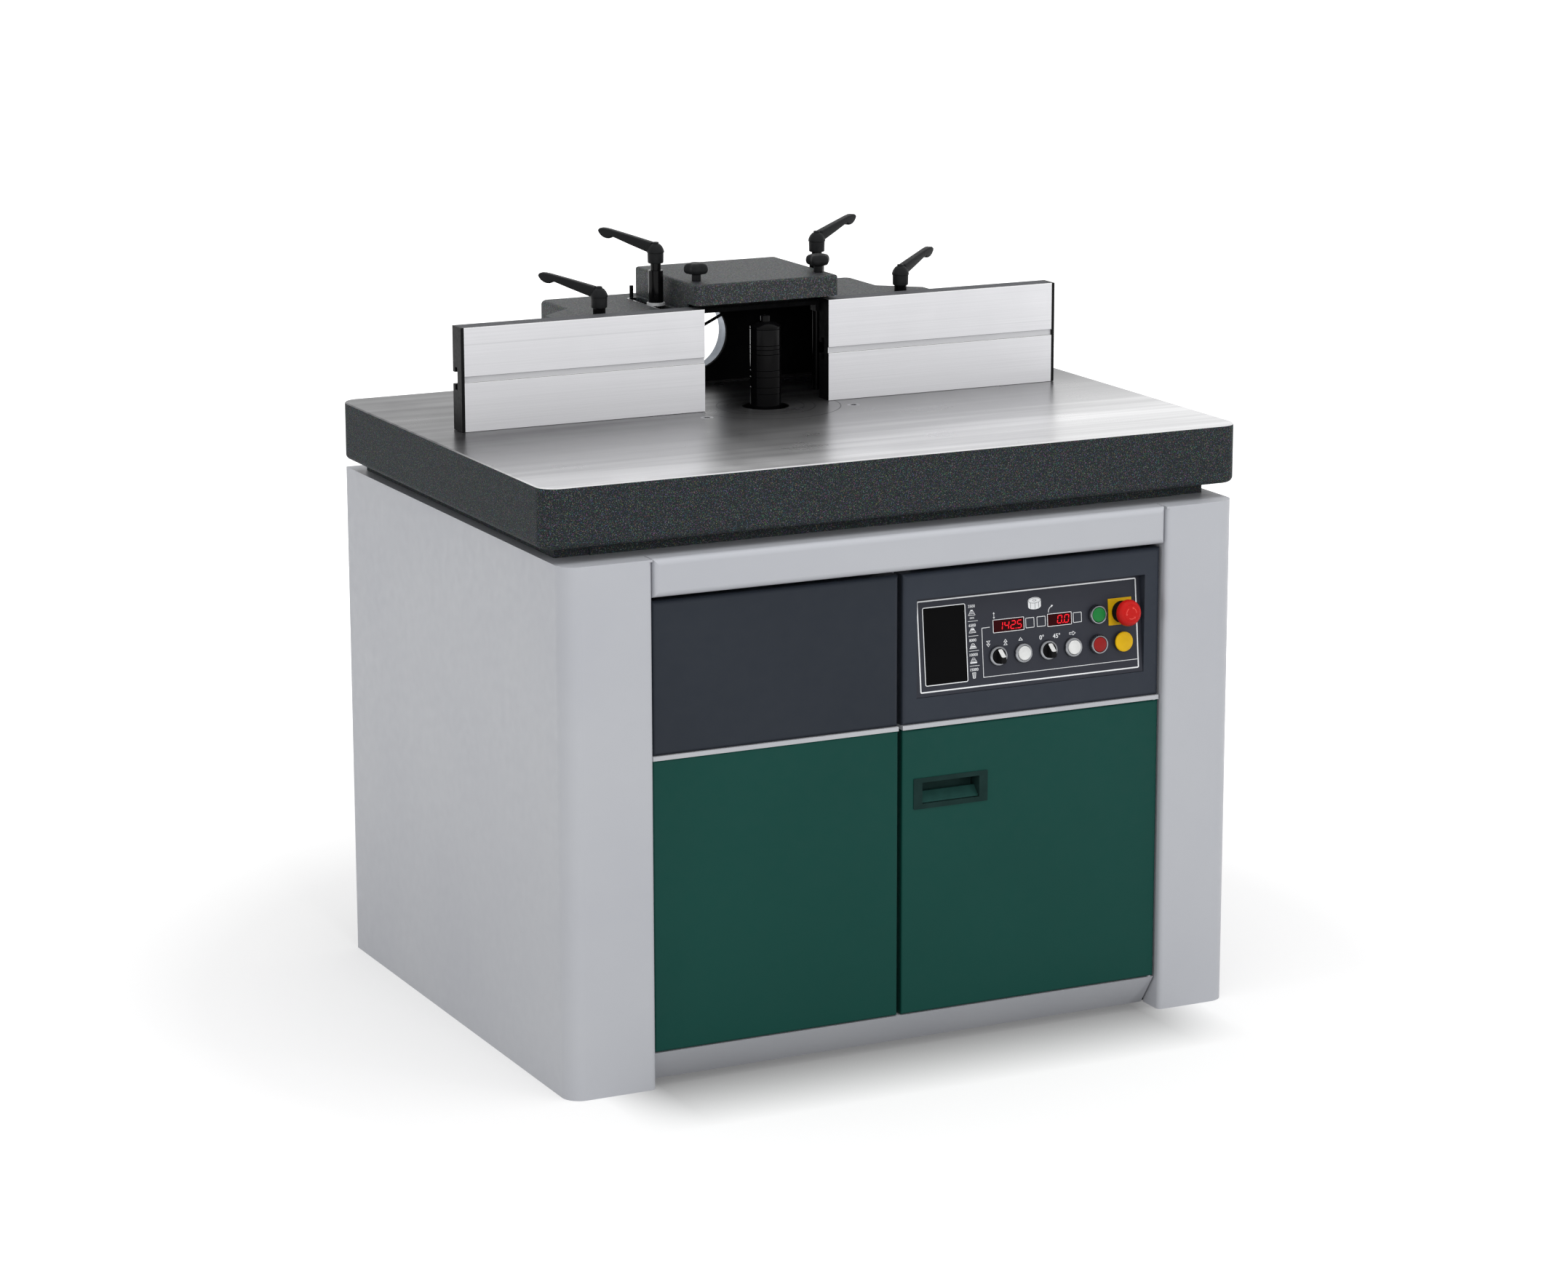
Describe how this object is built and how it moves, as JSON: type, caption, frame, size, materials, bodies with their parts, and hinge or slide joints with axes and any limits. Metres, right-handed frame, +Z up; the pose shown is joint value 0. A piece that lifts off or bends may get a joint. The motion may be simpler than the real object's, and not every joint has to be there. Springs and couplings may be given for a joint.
{
  "type": "spindle moulder",
  "caption": "Floor-standing woodworking spindle moulder: cast table on a cabinet, tilting rising spindle, sliding fence with dust hood, and a push-button control panel.",
  "frame": {"origin": "on the floor under the middle of the machine's bounding box", "axes": "+Z up, -Y towards the operator at the front, +X to the operator's right"},
  "size_m": [1.132, 0.856, 1.1555],
  "materials": {
    "cabinet_paint": "light grey satin paint",
    "door_paint": "dark green satin paint",
    "dark_paint": "dark grey satin paint",
    "black_paint": "black satin paint",
    "ground_iron": "ground and brushed top, speckled dark sides",
    "casting": "bare casting",
    "steel": "machined steel",
    "black_steel": "black oiled steel",
    "aluminium": "fine brushed aluminium",
    "black_plastic": "matte black moulding",
    "white_plastic": "white moulding",
    "red_plastic": "red moulding",
    "yellow_plastic": "yellow moulding",
    "green_plastic": "green moulding",
    "chrome": "bright plated rings",
    "dark_glass": "tinted panes",
    "belt_rubber": "flat drive belt"
  },
  "bodies": {
    "cabinet": {"left_side_shell": "cabinet_paint", "right_side_shell": "cabinet_paint", "rear_panel": "cabinet_paint", "top_deck": "cabinet_paint", "base_frame": "black_paint", "kick_plate": "cabinet_paint", "centre_post": "cabinet_paint", "front_top_rail": "cabinet_paint", "left_lower_panel": "door_paint", "left_upper_panel": "dark_paint", "trim_strips": "cabinet_paint", "machine_table": "ground_iron", "table_bushes": "steel", "table_plinth": "casting", "table_rings": "ground_iron", "trunnion_cradles": "casting", "tilt_gearmotor": "black_paint", "clamp_posts": "black_steel", "control_housing": "dark_paint", "control_plate": "aluminium", "display_windows": "dark_glass", "button_bezels": "chrome"},
    "tilt_unit": {"tilt_frame": "casting"},
    "spindle_unit": {"spindle_carriage": "casting", "spindle_bearings": "steel", "drive_motor": "dark_paint", "drive_belt": "belt_rubber"},
    "spindle": {"spindle_shaft": "black_steel", "spacer_rings": "black_steel", "spindle_cap": "black_steel", "spindle_pulley": "aluminium"},
    "motor_rotor": {"motor_pulley": "aluminium"},
    "lift_screw": {"lift_screw": "steel"},
    "tilt_pinion": {"tilt_pinion": "steel"},
    "fence": {"fence_hood": "dark_paint", "extraction_port": "steel", "hood_fittings": "black_paint"},
    "left_fence": {"left_fence_plate": "aluminium", "left_fence_cap": "black_plastic"},
    "right_fence": {"right_fence_plate": "aluminium", "right_fence_cap": "black_plastic"},
    "door": {"right_door": "door_paint", "door_handle": "black_plastic"},
    "cover": {"hood_cover": "dark_paint"},
    "left_fence_lever": {"left_fence_lever": "black_plastic"},
    "right_fence_lever": {"right_fence_lever": "black_plastic"},
    "left_post_lever": {"left_post_lever": "black_plastic"},
    "right_post_lever": {"right_post_lever": "black_plastic"},
    "left_star_knob": {"left_star_knob": "black_plastic"},
    "right_star_knob": {"right_star_knob": "black_plastic"},
    "latch_paddle": {"latch_paddle": "black_plastic"},
    "height_selector": {"height_selector": "black_plastic"},
    "left_white_button": {"left_white_button": "white_plastic"},
    "tilt_selector": {"tilt_selector": "black_plastic"},
    "right_white_button": {"right_white_button": "white_plastic"},
    "red_button": {"red_button": "red_plastic"},
    "yellow_button": {"yellow_button": "yellow_plastic"},
    "green_button": {"green_button": "green_plastic"},
    "emergency_stop": {"emergency_stop": "red_plastic"}
  },
  "joints": [
    {"name": "spindle_tilt", "type": "hinge", "parent": "cabinet", "child": "tilt_unit", "pos_m": [0, 0.064, 0.89], "axis": [-1, 0, 0], "range_deg": [0, 45]},
    {"name": "spindle_lift", "type": "slide", "parent": "tilt_unit", "child": "spindle_unit", "axis": [0, 0, 1], "range_m": [-0.11, 0]},
    {"name": "spindle_spin", "type": "hinge", "parent": "spindle_unit", "child": "spindle", "pos_m": [0, 0.064, 0.89], "axis": [0, 0, 1], "continuous": true},
    {"name": "motor_spin", "type": "hinge", "parent": "spindle_unit", "child": "motor_rotor", "pos_m": [0, 0.279, 0.56], "axis": [0, 0, 1], "continuous": true},
    {"name": "lift_screw_turn", "type": "hinge", "parent": "tilt_unit", "child": "lift_screw", "pos_m": [0, 0.159, 0.5], "axis": [0, 0, 1], "range_deg": [-3970, 10]},
    {"name": "tilt_pinion_turn", "type": "hinge", "parent": "cabinet", "child": "tilt_pinion", "pos_m": [0.15, 0.064, 0.65], "axis": [-1, 0, 0], "range_deg": [-230, 5]},
    {"name": "fence_slide", "type": "slide", "parent": "cabinet", "child": "fence", "axis": [0, 1, 0], "range_m": [-0.03, 0.04]},
    {"name": "left_fence_slide", "type": "slide", "parent": "fence", "child": "left_fence", "axis": [1, 0, 0], "range_m": [-0.04, 0.06]},
    {"name": "right_fence_slide", "type": "slide", "parent": "fence", "child": "right_fence", "axis": [1, 0, 0], "range_m": [-0.06, 0.04]},
    {"name": "left_fence_lever_turn", "type": "hinge", "parent": "fence", "child": "left_fence_lever", "pos_m": [-0.256, 0.11, 1.053], "axis": [0, 0, 1], "range_deg": [-60, 60]},
    {"name": "right_fence_lever_turn", "type": "hinge", "parent": "fence", "child": "right_fence_lever", "pos_m": [0.256, 0.11, 1.053], "axis": [0, 0, 1], "range_deg": [-60, 60]},
    {"name": "left_post_lever_turn", "type": "hinge", "parent": "cabinet", "child": "left_post_lever", "pos_m": [-0.1375, 0.164, 1.106], "axis": [0, 0, 1], "range_deg": [-25, 90]},
    {"name": "right_post_lever_turn", "type": "hinge", "parent": "cabinet", "child": "right_post_lever", "pos_m": [0.1375, 0.164, 1.106], "axis": [0, 0, 1], "range_deg": [-90, 25]},
    {"name": "cover_lift", "type": "slide", "parent": "fence", "child": "cover", "axis": [0, 0, 1], "range_m": [0, 0.2]},
    {"name": "left_star_knob_turn", "type": "hinge", "parent": "cover", "child": "left_star_knob", "pos_m": [-0.0985, 0.101, 1.084], "axis": [0, 0, 1], "continuous": true},
    {"name": "right_star_knob_turn", "type": "hinge", "parent": "cover", "child": "right_star_knob", "pos_m": [0.1085, 0.101, 1.084], "axis": [0, 0, 1], "continuous": true},
    {"name": "door_swing", "type": "hinge", "parent": "cabinet", "child": "door", "pos_m": [0.419, -0.401, 0.26], "axis": [0, 0, 1], "range_deg": [0, 90]},
    {"name": "latch_press", "type": "hinge", "parent": "door", "child": "latch_paddle", "pos_m": [0.072, -0.4015, 0.3728], "axis": [-1, 0, 0], "range_deg": [0, 20], "stiffness_Nm_per_rad": 0.4, "springref_deg": -11.46},
    {"name": "height_selector_turn", "type": "hinge", "parent": "cabinet", "child": "height_selector", "pos_m": [0.153, -0.39991, 0.57854], "axis": [0, 0.9945, -0.1045], "range_deg": [-45, 45]},
    {"name": "tilt_selector_turn", "type": "hinge", "parent": "cabinet", "child": "tilt_selector", "pos_m": [0.2374, -0.39991, 0.57854], "axis": [0, 0.9945, -0.1045], "range_deg": [-45, 45]},
    {"name": "left_white_button_press", "type": "slide", "parent": "cabinet", "child": "left_white_button", "axis": [0, 0.9945, -0.1045], "range_m": [0, 0.004], "stiffness_N_per_m": 600, "springref_m": -0.002},
    {"name": "right_white_button_press", "type": "slide", "parent": "cabinet", "child": "right_white_button", "axis": [0, 0.9945, -0.1045], "range_m": [0, 0.004], "stiffness_N_per_m": 600, "springref_m": -0.002},
    {"name": "red_button_press", "type": "slide", "parent": "cabinet", "child": "red_button", "axis": [0, 0.9945, -0.1045], "range_m": [0, 0.004], "stiffness_N_per_m": 600, "springref_m": -0.002},
    {"name": "green_button_press", "type": "slide", "parent": "cabinet", "child": "green_button", "axis": [0, 0.9945, -0.1045], "range_m": [0, 0.004], "stiffness_N_per_m": 600, "springref_m": -0.002},
    {"name": "yellow_button_press", "type": "slide", "parent": "cabinet", "child": "yellow_button", "axis": [0, 0.9945, -0.1045], "range_m": [0, 0.004], "stiffness_N_per_m": 600, "springref_m": -0.002},
    {"name": "emergency_stop_press", "type": "slide", "parent": "cabinet", "child": "emergency_stop", "axis": [0, 0.9945, -0.1045], "range_m": [0, 0.006]}
  ],
  "couplings": [
    {"joint": "motor_spin", "follows": "spindle_spin", "ratio": 0.3745},
    {"joint": "lift_screw_turn", "follows": "spindle_lift", "rad_per_m": 628.32},
    {"joint": "tilt_pinion_turn", "follows": "spindle_tilt", "ratio": -5}
  ]
}
